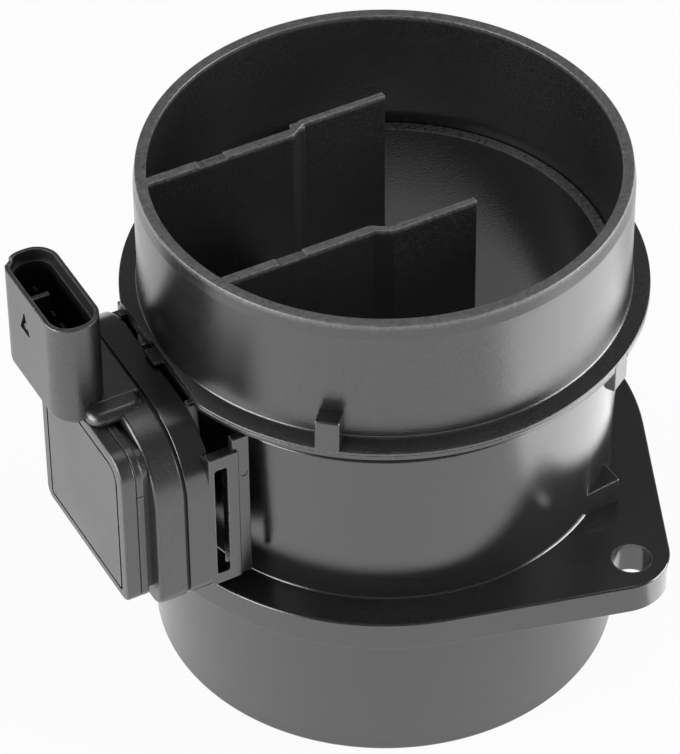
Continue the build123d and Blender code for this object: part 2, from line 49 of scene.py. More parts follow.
SIDE = Matrix(((0, 0, -1, 0), (-1, 0, 0, 0), (0, 1, 0, 0), (0, 0, 0, 1)))    # u to -Y, v up, w to -X
FLANK = Matrix(((1, 0, 0, 0), (0, 0, -1, 0), (0, 1, 0, 0), (0, 0, 0, 1)))    # u to +X, v up, w to -Y
UPRIGHT = Matrix.Identity(4)                                                 # u to +X, v to +Y, w up


def polar(radius, azimuth):
    """Point at a radius and an azimuth in degrees."""
    return (radius * math.cos(math.radians(azimuth)), radius * math.sin(math.radians(azimuth)))


STRAIGHT = 1e-4                  # radians within which a corner counts as straight


def rounded(corners, steps=ROUND_STEPS):
    """Closed outline from (x, y, corner radius) entries, with an arc in place of each rounded corner."""
    outline = []
    for index, (x, y, radius) in enumerate(corners):
        here = Vector((x, y))
        before = Vector(corners[index - 1][:2]) - here
        after = Vector(corners[(index + 1) % len(corners)][:2]) - here
        half = before.angle(after) / 2
        if radius <= 0 or abs(half - math.pi / 2) < STRAIGHT:
            outline.append((x, y))
            continue
        centre = here + (before.normalized() + after.normalized()).normalized() * radius / math.sin(half)
        first = here + before.normalized() * radius / math.tan(half) - centre
        last = here + after.normalized() * radius / math.tan(half) - centre
        sweep = first.angle_signed(last)
        for step in range(steps + 1):
            spoke = first.copy()
            spoke.rotate(Matrix.Rotation(-sweep * step / steps, 2))
            outline.append(tuple(centre + spoke))
    return outline


def box_outline(centre_x, centre_y, width, height, radius=0.0, steps=ROUND_STEPS):
    """Rectangle with equal corner rounds."""
    half_w, half_h = width / 2, height / 2
    corners = ((-half_w, -half_h), (half_w, -half_h), (half_w, half_h), (-half_w, half_h))
    return rounded([(centre_x + x, centre_y + y, radius) for x, y in corners], steps)


def circle_outline(centre, radius, steps=48):
    """Circle as a closed outline."""
    turns = [2 * math.pi * i / steps for i in range(steps)]
    return [(centre[0] + radius * math.cos(turn), centre[1] + radius * math.sin(turn)) for turn in turns]


MITRE_LIMIT = 0.4                # keeps a sharp corner from running out when an outline is drawn in


def inset(outline, distance):
    """Outline drawn in by a distance; the outline runs anticlockwise."""
    moved = []
    for index, point in enumerate(outline):
        here = Vector(point)
        along = (here - Vector(outline[index - 1])).normalized()
        onward = (Vector(outline[(index + 1) % len(outline)]) - here).normalized()
        normal_a, normal_b = Vector((-along.y, along.x)), Vector((-onward.y, onward.x))
        mitre = normal_a + normal_b
        scale = 2 / max(mitre.length_squared, MITRE_LIMIT)
        moved.append(tuple(here + mitre * distance * scale))
    return moved


def as_object(name, points, faces):
    """New object from points in millimetres."""
    mesh = bpy.data.meshes.new(name)
    mesh.from_pydata([Vector(p) * MM for p in points], [], faces)
    made = bpy.data.objects.new(name, mesh)
    bpy.context.scene.collection.objects.link(made)
    working = bmesh.new()
    working.from_mesh(mesh)
    bmesh.ops.recalc_face_normals(working, faces=working.faces)
    working.to_mesh(mesh)
    working.free()
    return made


def lathe(name, profile, steps=TURN_STEPS):
    """Solid turned about the tube's axis from a closed (radius, height) outline."""
    points, rings = [], []
    for radius, height in profile:
        count = steps if radius > 0 else 1
        rings.append([len(points) + i for i in range(count)])
        points += [(*polar(radius, 360 * i / steps), height) for i in range(count)]
    faces = []
    for index, ring in enumerate(rings):
        other = rings[(index + 1) % len(rings)]
        if len(ring) == 1 and len(other) == 1:
            continue
        for i in range(steps):
            j = (i + 1) % steps
            loop = [ring[i % len(ring)], ring[j % len(ring)], other[j % len(other)], other[i % len(other)]]
            faces.append(list(dict.fromkeys(loop)))
    return as_object(name, points, faces)


def prism(name, outline, low, high, low_edge=0.0, high_edge=0.0, facing=UPRIGHT):
    """Solid between two heights on an outline, with rounded rims, turned to face a side."""
    area = sum(a[0] * b[1] - b[0] * a[1] for a, b in zip(outline, outline[1:] + outline[:1]))
    outline = outline if area > 0 else outline[::-1]
    levels = []
    for edge, height, inward in ((low_edge, low, 1), (high_edge, high, -1)):
        turns = [math.pi / 2 * i / ROUND_STEPS for i in range(ROUND_STEPS + 1)] if edge > 0 else [0.0]
        rim = [(edge * (1 - math.cos(t)), height + inward * edge * (1 - math.sin(t))) for t in turns]
        levels += rim[::-1] if inward > 0 else rim
    points, rings = [], []
    for drawn_in, height in levels:
        ring = inset(outline, drawn_in) if drawn_in > 0 else outline
        rings.append([len(points) + i for i in range(len(ring))])
        points += [facing @ Vector((x, y, height)) for x, y in ring]
    faces = [rings[0][::-1], rings[-1]]
    for ring, other in zip(rings, rings[1:]):
        for i in range(len(ring)):
            j = (i + 1) % len(ring)
            faces.append([ring[i], ring[j], other[j], other[i]])
    return as_object(name, points, faces)


SAME_POINT = 1e-6                # metres within which points are one
NO_LENGTH = 1e-7                 # metres under which an edge has no length


def merge_points(mesh):
    """Merges points that a cut left on top of each other."""
    working = bmesh.new()
    working.from_mesh(mesh)
    bmesh.ops.remove_doubles(working, verts=working.verts, dist=SAME_POINT)
    bmesh.ops.dissolve_degenerate(working, edges=working.edges, dist=NO_LENGTH)
    working.to_mesh(mesh)
    working.free()


def shape(piece, operation, *tools):
    """Joins solids to a piece or cuts them from it, and clears the tools away."""
    for tool in tools:
        change = piece.modifiers.new("shape", "BOOLEAN")
        change.operation = operation
        change.solver = "EXACT"
        change.object = tool
        changed = piece.evaluated_get(bpy.context.evaluated_depsgraph_get())
        done = bpy.data.meshes.new_from_object(changed)
        piece.modifiers.clear()
        old = piece.data
        piece.data = done
        done.name = piece.name
        merge_points(done)
        bpy.data.meshes.remove(old)
        bpy.data.objects.remove(tool)


SHARP_ANGLE = 35                 # degrees above which an edge stays crisp


def dress(piece, material, node):
    """Smooth shading that keeps flat faces flat, the piece's material, and its place on the frame."""
    piece.data.shade_smooth()
    piece.data.set_sharp_from_angle(angle=math.radians(SHARP_ANGLE))
    weighted = piece.modifiers.new("even_normals", "WEIGHTED_NORMAL")
    weighted.keep_sharp = True
    piece.data.materials.clear()
    piece.data.materials.append(material)
    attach(piece, "root")
    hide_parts(node)


def new_group(name, inputs, outputs):
    """Empty shader node group with named inputs and outputs."""
    group = bpy.data.node_groups.new(name, "ShaderNodeTree")
    for label, kind in inputs:
        group.interface.new_socket(label, in_out="INPUT", socket_type="NodeSocket" + kind)
    for label, kind in outputs:
        group.interface.new_socket(label, in_out="OUTPUT", socket_type="NodeSocket" + kind)
    return group, group.nodes.new("NodeGroupInput"), group.nodes.new("NodeGroupOutput")


def add_node(tree, kind, settings=(), values=()):
    """Adds a node with its settings and its plain socket values."""
    node = tree.nodes.new("ShaderNode" + kind)
    for name, value in dict(settings).items():
        setattr(node, name, value)
    for name, value in dict(values).items():
        node.inputs[name].default_value = value
    return node


def moulded_surface():
    """Node group for moulded plastic: tool grain, flow mottling, edges painted pale, partly as wear and
    partly as a painted highlight, and specks of dust.
    """
    group, given, result = new_group(
        "moulded_surface",
        (("Colour", "Color"), ("Worn And Highlit Colour", "Color"), ("Edge Width", "Float"), ("Edge Amount", "Float"),
         ("Mottle", "Float"), ("Grain Size", "Float"), ("Gloss Low", "Float"), ("Gloss High", "Float"),
         ("Dust", "Float"), ("Scuff And Highlight", "Float"), ("Scuff And Highlight Low", "Float"), ("Scuff And Highlight High", "Float")),
        (("Colour", "Color"), ("Roughness", "Float"), ("Height", "Float")),
    )
    links = group.links
    place = add_node(group, "TexCoord")

    fine = add_node(group, "TexNoise", values={"Detail": 3.0})
    broad = add_node(group, "TexNoise", values={"Scale": 70.0, "Detail": 4.0})
    chips = add_node(group, "TexNoise", values={"Scale": 1500.0, "Detail": 3.0})
    for texture in (fine, broad, chips):
        links.new(place.outputs["Object"], texture.inputs["Vector"])
    links.new(given.outputs["Grain Size"], fine.inputs["Scale"])

    # Rays sent into the wall come out again near a convex edge, so the edge is where this value falls.
    depth = add_node(group, "AmbientOcclusion", {"inside": True, "only_local": True, "samples": 6})
    links.new(given.outputs["Edge Width"], depth.inputs["Distance"])
    thin = add_node(group, "Math", {"operation": "SUBTRACT"}, {0: 1.0})
    links.new(depth.outputs["AO"], thin.inputs[1])
    ragged = add_node(group, "Math", {"operation": "MULTIPLY"})
    links.new(thin.outputs["Value"], ragged.inputs[0])
    links.new(chips.outputs["Fac"], ragged.inputs[1])
    # The pale edge is partly wear and partly a painted highlight along the edge.
    edge = add_node(group, "MapRange", {"clamp": True}, {"From Min": 0.11, "From Max": 0.26})
    links.new(ragged.outputs["Value"], edge.inputs["Value"])
    edges = add_node(group, "Math", {"operation": "MULTIPLY"})
    links.new(edge.outputs["Result"], edges.inputs[0])
    links.new(given.outputs["Edge Amount"], edges.inputs[1])

    # A pale band grows between two heights: scuffs on a rim that is handled, and a painted highlight on a
    # ledge.
    axes = add_node(group, "SeparateXYZ")
    links.new(place.outputs["Object"], axes.inputs["Vector"])
    above = add_node(group, "MapRange", {"clamp": True})
    links.new(axes.outputs["Z"], above.inputs["Value"])
    links.new(given.outputs["Scuff And Highlight Low"], above.inputs["From Min"])
    links.new(given.outputs["Scuff And Highlight High"], above.inputs["From Max"])
    links.new(given.outputs["Scuff And Highlight"], above.inputs["To Max"])
    scuffs_and_highlight = add_node(group, "Math", {"operation": "MULTIPLY"})
    links.new(chips.outputs["Fac"], scuffs_and_highlight.inputs[0])
    links.new(above.outputs["Result"], scuffs_and_highlight.inputs[1])
    worn_and_highlit = add_node(group, "Math", {"operation": "ADD", "use_clamp": True})
    links.new(edges.outputs["Value"], worn_and_highlit.inputs[0])
    links.new(scuffs_and_highlight.outputs["Value"], worn_and_highlit.inputs[1])

    # Fibre ends show as a pale mottle under the pale edge colour of wear and painted highlight.
    fibres = add_node(group, "MapRange", {"clamp": True}, {"From Min": 0.46, "From Max": 0.62})
    links.new(fine.outputs["Fac"], fibres.inputs["Value"])
    flow = add_node(group, "Math", {"operation": "MULTIPLY"})
    links.new(fibres.outputs["Result"], flow.inputs[0])
    links.new(given.outputs["Mottle"], flow.inputs[1])
    base = add_node(group, "Mix", {"data_type": "RGBA"}, {"B": (0.5, 0.5, 0.5, 1)})
    links.new(flow.outputs["Value"], base.inputs["Factor"])
    links.new(given.outputs["Colour"], base.inputs["A"])
    layered = add_node(group, "Mix", {"data_type": "RGBA"})
    links.new(worn_and_highlit.outputs["Value"], layered.inputs["Factor"])
    links.new(base.outputs["Result"], layered.inputs["A"])
    links.new(given.outputs["Worn And Highlit Colour"], layered.inputs["B"])

    # Dust lies as rare small specks, each in a cell of its own.
    cells = add_node(group, "TexVoronoi", values={"Scale": 190.0})
    links.new(place.outputs["Object"], cells.inputs["Vector"])
    near = add_node(group, "Math", {"operation": "LESS_THAN"}, {1: 0.034})
    links.new(cells.outputs["Distance"], near.inputs[0])
    rare = add_node(group, "Math", {"operation": "LESS_THAN"})
    links.new(cells.outputs["Color"], rare.inputs[0])
    links.new(given.outputs["Dust"], rare.inputs[1])
    speck = add_node(group, "Math", {"operation": "MULTIPLY"})
    links.new(near.outputs["Value"], speck.inputs[0])
    links.new(rare.outputs["Value"], speck.inputs[1])
    dusty = add_node(group, "Mix", {"data_type": "RGBA"}, {"B": (0.55, 0.55, 0.52, 1)})
    links.new(speck.outputs["Value"], dusty.inputs["Factor"])
    links.new(layered.outputs["Result"], dusty.inputs["A"])
    links.new(dusty.outputs["Result"], result.inputs["Colour"])

    # Gloss drifts in broad clouds and is dulled where the surface is worn and scuffed, and where a highlight
    # is painted.
    gloss = add_node(group, "MapRange", values={"From Min": 0.3, "From Max": 0.7})
    links.new(broad.outputs["Fac"], gloss.inputs["Value"])
    links.new(given.outputs["Gloss Low"], gloss.inputs["To Min"])
    links.new(given.outputs["Gloss High"], gloss.inputs["To Max"])
    dulled = add_node(group, "Math", {"operation": "MULTIPLY_ADD", "use_clamp": True}, {1: 0.3})
    links.new(worn_and_highlit.outputs["Value"], dulled.inputs[0])
    links.new(gloss.outputs["Result"], dulled.inputs[2])
    links.new(dulled.outputs["Value"], result.inputs["Roughness"])
    links.new(fine.outputs["Fac"], result.inputs["Height"])
    return group


MOULDED_SURFACE = moulded_surface()


EDGE_WIDTH = 0.5                 # how far edge wear and the painted edge highlight reach in from an edge


def plastic(name, colour, gloss, mottle, grain_size, grain_height=0.05, edge_amount=0.6,
            worn_and_highlit=(0.16, 0.16, 0.16), dust=0.0, ior=1.65, sheen=0.95,
            scuff_and_highlight=0.0, scuff_and_highlight_low=0.0, scuff_and_highlight_high=1.0):
    """Moulded material with the shared surface, and a pale band between two heights if an amount is given:
    scuffs on the collar's rim, a painted highlight on the body's ledge.
    """
    material = bpy.data.materials.new(name)
    material.use_nodes = True
    tree = material.node_tree
    surface = tree.nodes["Principled BSDF"]
    surface.inputs["IOR"].default_value = ior
    surface.inputs["Specular IOR Level"].default_value = sheen
    moulded = tree.nodes.new("ShaderNodeGroup")
    moulded.node_tree = MOULDED_SURFACE
    for label, value in (
        ("Colour", (*colour, 1)), ("Worn And Highlit Colour", (*worn_and_highlit, 1)), ("Edge Width", EDGE_WIDTH * MM),
        ("Edge Amount", edge_amount), ("Mottle", mottle), ("Grain Size", grain_size),
        ("Gloss Low", gloss[0]), ("Gloss High", gloss[1]), ("Dust", dust),
        ("Scuff And Highlight", scuff_and_highlight), ("Scuff And Highlight Low", scuff_and_highlight_low * MM), ("Scuff And Highlight High", scuff_and_highlight_high * MM),
    ):
        moulded.inputs[label].default_value = value
    tree.links.new(moulded.outputs["Colour"], surface.inputs["Base Color"])
    tree.links.new(moulded.outputs["Roughness"], surface.inputs["Roughness"])
    bump = add_node(tree, "Bump", values={"Strength": 0.35, "Distance": grain_height * MM})
    tree.links.new(moulded.outputs["Height"], bump.inputs["Height"])
    tree.links.new(bump.outputs["Normal"], surface.inputs["Normal"])
    return material


bore_radius = 38.8
spigot_radius, spigot_length, spigot_wall = 42.77, 30.8, 2.6
flange_radius, flange_thickness = 47.6, 6.1
tube_foot_radius, tube_head_radius, tube_length = 40.9, 42.3, 33.9
neck_radius, neck_length = 41.0, 4.65
lip_radius, lip_thickness, lip_root_rise = 46.8, 0.95, 1.5
socket_neck_radius, socket_neck_length = 40.85, 1.8
flat_offset = 44.3
flange_top = spigot_length + flange_thickness
shoulder_z = flange_top + tube_length
lip_low = shoulder_z + neck_length
joint_z = lip_low + lip_thickness
ledge_z = joint_z + socket_neck_length

# Its pale band at the ledge is a painted highlight on the top edge of the neck; its pale edges are partly
# wear and partly a painted highlight.
body_plastic = plastic(
    "body_plastic", (0.013, 0.013, 0.014), (0.12, 0.18), mottle=0.03, grain_size=3600, grain_height=0.07,
    edge_amount=0.4, worn_and_highlit=(0.3, 0.3, 0.3), dust=0.03,
    scuff_and_highlight=1.0, scuff_and_highlight_low=ledge_z - 0.3, scuff_and_highlight_high=ledge_z - 0.05,
)

flow_body = lathe("flow_body_moulding", rounded([
    (0, 0, 0),
    (spigot_radius, 0, 0.9),
    (spigot_radius, spigot_length, 0.5),
    (flange_radius, spigot_length, 0.4),
    (flange_radius, flange_top, 0.45),
    (tube_foot_radius, flange_top, 0.4),
    (tube_head_radius, shoulder_z, 0.4),
    (neck_radius, shoulder_z, 0.3),
    (neck_radius, lip_low - lip_root_rise, 0.4),
    (lip_radius, lip_low, 0.25),
    (lip_radius, joint_z, 0.12),
    (socket_neck_radius, joint_z, 0),
    (socket_neck_radius, ledge_z, 0.2),
    (0, ledge_z, 0),
]))

OVERRUN = 1                      # how far a root or a cutting tool runs past a face
BITE = 0.04                      # how far joined solids run past a shared face
ARC_STEPS = 60                   # facets of the flange's rim between its ears
WIDE_ROUND_STEPS = 16            # facets in a large corner round
ear_azimuth, ear_half_spread, ear_corner_radius = -63.8, 81.7 / 2, 9.5
bolt_circle, bolt_hole_radius = 107.0, 3.5
ear_reach = flange_radius / math.cos(math.radians(ear_half_spread))
flange_corners = []
for ear in (ear_azimuth, ear_azimuth + 180):
    flange_corners.append((*polar(ear_reach, ear), ear_corner_radius))
    for step in range(ARC_STEPS + 1):
        turned = ear + ear_half_spread + (180 - 2 * ear_half_spread) * step / ARC_STEPS
        flange_corners.append((*polar(flange_radius, turned), 0))
flange = prism("flange", rounded(flange_corners, WIDE_ROUND_STEPS), spigot_length, flange_top, 0.4, 0.45)

lug_azimuth, lug_half_angle, lug_reach, lug_corner_azimuth, lug_height = -51.2, 6.8, 44.8, -49.0, 4.9
lug = prism("lug", rounded([
    (*polar(bore_radius + OVERRUN, lug_azimuth - lug_half_angle), 0),
    (*polar(tube_foot_radius, lug_azimuth - lug_half_angle), 0),
    (*polar(lug_reach, lug_corner_azimuth), 0.3),
    (*polar(tube_foot_radius, lug_azimuth + lug_half_angle), 0),
    (*polar(bore_radius + OVERRUN, lug_azimuth + lug_half_angle), 0),
]), flange_top - OVERRUN, flange_top + lug_height, 0, 0.25)

pad_face, pad_thickness, pad_half_width, pad_low, pad_high = 50.7, 5.2, 23.0, 39.9, 75.9
pad_low_radius, pad_high_radius = 3.5, 12.9
pad_back = pad_face - pad_thickness


def upright_outline(centre, half_width, low, high, low_radius, high_radius):
    """Upright rectangle seen from the module side, with its own corner rounds at foot and head."""
    return rounded([
        (-centre - half_width, low, low_radius),
        (-centre + half_width, low, low_radius),
        (-centre + half_width, high, high_radius),
        (-centre - half_width, high, high_radius),
    ], WIDE_ROUND_STEPS)


pad_plan = upright_outline(0, pad_half_width, pad_low, pad_high, pad_low_radius, pad_high_radius)
pad = prism("pad", pad_plan, pad_back, pad_face, 0.3, 0.35, SIDE)
stem_half_width, stem_low, stem_high, stem_round, stem_root = 8.6, 42.6, 72.0, 0.5, 0.5
stem_plan = upright_outline(0, stem_half_width, stem_low, stem_high, stem_round, stem_round)
stem = prism("stem", stem_plan, bore_radius + stem_root, pad_back + OVERRUN, facing=SIDE)
shape(flow_body, "UNION", flange, lug)
flat_cut_depth, flat_cut_width, flat_margin = 20, 60, 0.5
flat_plan = box_outline(-flat_offset - flat_cut_depth / 2, 0, flat_cut_depth, flat_cut_width)
flat_cut = prism("flat_cut", flat_plan, shoulder_z + flat_margin, joint_z + flat_margin)
shape(flow_body, "DIFFERENCE", flat_cut)
shape(flow_body, "UNION", pad, stem)

wing_thickness, wing_depth, wing_low = 2.0, 4.8, 41.4
slot_low, slot_depth, slot_bar = 43.8, 2.5, 2.7
column_depth, column_setback = 2.2, 0.5
# Each side's wing and column tops; the far ones stand lower.
for side, wing_high, column_high in ((-1, 71.0, 73.4), (1, 68.0, 70.4)):
    outer = -side * pad_half_width
    near, far = sorted((outer, outer + side * wing_thickness))
    wing = prism("wing", rounded([
        (-pad_back - OVERRUN, wing_low, 0),
        (-pad_back + wing_depth, wing_low, 0.5),
        (-pad_back + wing_depth, wing_high, 0.5),
        (-pad_back - OVERRUN, wing_high, 0),
    ]), near, far, 0.25, 0.25, FLANK)
    column_outer = -side * (pad_half_width - column_setback)
    near_column, far_column = sorted((column_outer, column_outer + side * (wing_thickness - column_setback)))
    column = prism("column", rounded([
        (-pad_back + wing_depth - OVERRUN, wing_low, 0),
        (-pad_back + wing_depth + column_depth, wing_low, 0.4),
        (-pad_back + wing_depth + column_depth, column_high, 0.4),
        (-pad_back + wing_depth - OVERRUN, column_high, 0),
    ]), near_column, far_column, 0.2, 0.2, FLANK)
    slot_tall = wing_high - slot_bar - slot_low
    slot_plan = box_outline(-pad_back + slot_depth / 2, slot_low + slot_tall / 2, slot_depth, slot_tall, 0.6)
    slot = prism("slot", slot_plan, near - OVERRUN, far + OVERRUN, facing=FLANK)
    shape(flow_body, "UNION", wing, column)
    shape(flow_body, "DIFFERENCE", slot)

arm_azimuth, arm_width, arm_thickness, arm_clearance = -57.7, 4.5, 1.9, 0.2
notch_depth, notch_start = arm_thickness + arm_clearance, 0.3
notch_plan = box_outline(
    lip_radius - notch_depth / 2 + OVERRUN, 0, notch_depth + 2 * OVERRUN, arm_width + 2 * arm_clearance,
)
for azimuth in (arm_azimuth, arm_azimuth + 180):
    notch = prism(
        "arm_notch", notch_plan, shoulder_z + notch_start, joint_z + flat_margin,
        facing=Matrix.Rotation(math.radians(azimuth), 4, "Z"),
    )
    shape(flow_body, "DIFFERENCE", notch)

tie_y, tie_width, tie_height = 13.0, 1.0, 0.9
for side in (-1, 1):
    tie = prism(
        "tie_bar",
        box_outline(
            -(pad_back + flat_offset) / 2, side * tie_y,
            pad_back - flat_offset + 2 * BITE, tie_width,
        ),
        lip_low + BITE, lip_low + tie_height,
    )
    shape(flow_body, "UNION", tie)

mark_height, mark_radius, mark_depth = 65.0, 0.75, 0.12
mark = prism(
    "ejector_mark",
    circle_outline((-pad_back + wing_depth + column_depth / 2, mark_height), mark_radius, steps=24),
    pad_half_width - column_setback - mark_depth, pad_half_width + OVERRUN, facing=FLANK,
)
shape(flow_body, "DIFFERENCE", mark)

bore_taper = 2.5
bore = lathe("bore", [
    (0, -OVERRUN),
    (spigot_radius - spigot_wall, -OVERRUN),
    (spigot_radius - spigot_wall, spigot_length - bore_taper),
    (bore_radius, spigot_length + bore_taper),
    (bore_radius, ledge_z + OVERRUN),
    (0, ledge_z + OVERRUN),
])
passage_half_width, passage_low, passage_high, passage_corner = 7.4, 47.0, 68.0, 2.0
passage = prism(
    "passage",
    upright_outline(0, passage_half_width, passage_low, passage_high, passage_corner, passage_corner),
    bore_radius / 2, pad_face + OVERRUN, facing=SIDE,
)
holes = []
for turn in (0, 180):
    hole_plan = circle_outline(polar(bolt_circle / 2, ear_azimuth + turn), bolt_hole_radius)
    holes.append(prism("bolt_hole", hole_plan, spigot_length - OVERRUN, flange_top + OVERRUN))
shape(flow_body, "DIFFERENCE", bore, passage, *holes)
dress(flow_body, body_plastic, "flow_body")

# ------------------------------------------------------------------ inlet collar
# The upper tube, a second nylon moulding clipped onto the flow body: a thin ring at its foot with two
# index ribs and two snap arms that hook under the body's lip, and a tongue that keys it. Inside are
# two jogged guide vanes that lead air to the probe.

collar_radius, rim_radius, rim_bore_radius, collar_bore_radius = 43.45, 43.05, 41.07, 41.0
foot_flare, seal_chamfer, ring_fall = 0.2, 1.45, 0.8
collar_height, lead_in_height, ring_thickness = 25.9, 2.8, 0.6
rim_z, ring_top = joint_z + collar_height, joint_z + ring_thickness
# Its pale edges are partly wear and partly a painted highlight, the ring's outer edge among them; its pale
# rim top is scuffed wear.
collar_plastic = plastic(
    "collar_plastic", (0.012, 0.012, 0.013), (0.18, 0.26), mottle=0.05, grain_size=3600, grain_height=0.12,
    edge_amount=0.35, worn_and_highlit=(0.3, 0.305, 0.31), dust=0.04,
    scuff_and_highlight=0.7, scuff_and_highlight_low=rim_z - 1.1, scuff_and_highlight_high=rim_z - 0.2,
)
index_rib_azimuth, index_rib_width, index_rib_height = -130.5, 4.4, 6.7

inlet_collar = lathe("inlet_collar_moulding", rounded([
    (collar_bore_radius + seal_chamfer, joint_z, 0),
    (lip_radius, joint_z, 0.1),
    (lip_radius, ring_top, 0.25),
    (collar_radius + foot_flare, ring_top + ring_fall, 0.5),
    (collar_radius, joint_z + index_rib_height, 0),
    (collar_radius, rim_z - lead_in_height, 0.8),
    (rim_radius, rim_z, 0.2),
    (rim_bore_radius, rim_z, 0.2),
    (collar_bore_radius, joint_z + seal_chamfer, 0),
]))
ring_cut_over = 0.4
ring_cut = prism("ring_cut", flat_plan, joint_z - flat_margin, ring_top + ring_fall + ring_cut_over)
shape(inlet_collar, "DIFFERENCE", ring_cut)

vane_spacing, vane_thickness, vane_jog_start, vane_jog_length, vane_jog_step = 27.7, 1.75, -10.4, 2.9, 1.9
vane_tip_thickness, vane_end, vane_depth, vane_clearance = 1.3, 8.8, 38.0, 0.5
vane_drop, vane_root, relief_reach = 0.02, 0.3, 60
vane_inner, jog_end = vane_spacing / 2, vane_jog_start + vane_jog_length
dip_start, dip_end, dip_depth, dip_width = -28.6, -23.3, 0.4, 4.0
for side in (-1, 1):
    vane = prism("vane", rounded([
        (-collar_bore_radius - OVERRUN, side * vane_inner, 0),
        (vane_jog_start, side * vane_inner, 1.2),
        (jog_end, side * (vane_inner + vane_jog_step), 1.2),
        (vane_end, side * (vane_inner + vane_jog_step), 0.3),
        (vane_end, side * (vane_inner + vane_jog_step + vane_tip_thickness), 0.3),
        (jog_end, side * (vane_inner + vane_jog_step + vane_tip_thickness), 1.2),
        (vane_jog_start, side * (vane_inner + vane_thickness), 1.2),
        (-collar_bore_radius - OVERRUN, side * (vane_inner + vane_thickness), 0),
    ]), rim_z - vane_depth, rim_z - vane_drop, 0.2, 0.15)
    relief = lathe("relief", [
        (bore_radius - vane_clearance, rim_z - vane_depth - OVERRUN),
        (bore_radius - vane_clearance, ledge_z + vane_clearance / 2),
        (collar_bore_radius + vane_root, ledge_z + vane_clearance / 2),
        (rim_bore_radius + vane_root, rim_z + OVERRUN),
        (relief_reach, rim_z + OVERRUN),
        (relief_reach, rim_z - vane_depth - OVERRUN),
    ])
    shape(vane, "DIFFERENCE", relief)
    dip_centre = ((dip_start + dip_end) / 2, side * (vane_inner + vane_thickness / 2))
    dip_plan = box_outline(*dip_centre, dip_end - dip_start, dip_width, 0.5)
    dip = prism("dip", dip_plan, rim_z - dip_depth, rim_z + OVERRUN)
    shape(vane, "DIFFERENCE", dip)
    shape(inlet_collar, "UNION", vane)

stub_width, stub_reach, stub_root, stub_lift, stub_drop = 2.2, 1.3, 0.3, 0.1, 0.15
stub_plan = box_outline(
    jog_end - stub_width / 2, vane_inner + vane_thickness + stub_reach / 2 - stub_root,
    stub_width, stub_reach + 2 * stub_root, 0.3,
)
stub = prism("stub", stub_plan, rim_z - vane_depth + stub_lift, rim_z - stub_drop, 0.1, 0.2)
shape(inlet_collar, "UNION", stub)

rib_root = 0.5
rib_plan = box_outline(
    (collar_radius - rib_root + lip_radius + BITE) / 2, 0,
    lip_radius + BITE - collar_radius + rib_root, index_rib_width, 0.5,
)
for azimuth in (index_rib_azimuth, index_rib_azimuth + 180):
    rib = prism(
        "rib", rib_plan, joint_z + BITE, joint_z + index_rib_height, 0, 0.4,
        Matrix.Rotation(math.radians(azimuth), 4, "Z"),
    )
    shape(inlet_collar, "UNION", rib)

arm_drop, hook_reach, hook_height = 5.4, 1.5, 1.4
arm_inner, hook_top = lip_radius - arm_thickness, lip_low - lip_root_rise / 2 - arm_clearance
for azimuth in (arm_azimuth, arm_azimuth + 180):
    arm = prism(
        "snap_arm",
        rounded([
            (lip_radius, ring_top - BITE, 0.3),
            (arm_inner, ring_top - BITE, 0.3),
            (arm_inner, hook_top, 0.3),
            (arm_inner - hook_reach, hook_top - hook_height / 2, 0.25),
            (arm_inner - hook_reach, hook_top - hook_height, 0.25),
            (arm_inner, joint_z - arm_drop, 0.3),
            (lip_radius, joint_z - arm_drop, 0.5),
        ]),
        -arm_width / 2, arm_width / 2, 0.2, 0.2, Matrix.Rotation(math.radians(azimuth), 4, "Z") @ FLANK,
    )
    shape(inlet_collar, "UNION", arm)

tongue_width, tongue_reach, tongue_offset, tongue_root = 4.0, 46.3, -0.2, 0.5
tongue_plan = box_outline(
    -(tongue_reach + collar_radius - tongue_root) / 2, tongue_offset,
    tongue_reach - collar_radius + tongue_root, tongue_width, 0.5,
)
tongue = prism("tongue", tongue_plan, joint_z + BITE, ring_top + BITE, 0, 0.15)
shape(inlet_collar, "UNION", tongue)
dress(inlet_collar, collar_plastic, "inlet_collar")

# ------------------------------------------------------------------ module housing
# One nylon moulding on the pad: the block that holds the electronics, the connector shroud, the bridge
# between them, and the probe arm that reaches through the pad into the air. Its grain is deeper than
# the tube's, and the socket opens upwards.

module_plastic = plastic(
    "module_plastic", (0.015, 0.016, 0.017), (0.26, 0.34), mottle=0.05, grain_size=3800, grain_height=0.16,
    worn_and_highlit=(0.24, 0.245, 0.25),
)
seam_gap = 0.5
block_thickness, recess_thickness, frame_thickness, cover_thickness = 5.4, 1.1, 1.5, 2.7
lid_half_width, lid_centre, lid_low, lid_high = 16.4, -4.6, 42.1, 74.3
lid_low_radius, lid_high_radius = 2.3, 4.9
block_back = pad_face + seam_gap
block_face = block_back + block_thickness
frame_back = block_face + recess_thickness
frame_face = frame_back + frame_thickness
cover_face = frame_face + cover_thickness
LEAST_ROUND = 1.0                # smallest corner round of a drawn-in outline


def lid_outline(drawn_in):
    """Outline shared by the recess, the lid frame and the cover."""
    return upright_outline(
        lid_centre, lid_half_width - drawn_in, lid_low + drawn_in, lid_high - drawn_in,
        max(lid_low_radius - drawn_in, LEAST_ROUND), max(lid_high_radius - drawn_in, LEAST_ROUND),
    )


module_housing = prism("module_housing_moulding", pad_plan, block_back, block_face, 0.3, 0.8, SIDE)
recess_inset = 1.0
recess = prism("recess", lid_outline(recess_inset), block_face - OVERRUN, frame_back, facing=SIDE)
shape(module_housing, "UNION", recess)

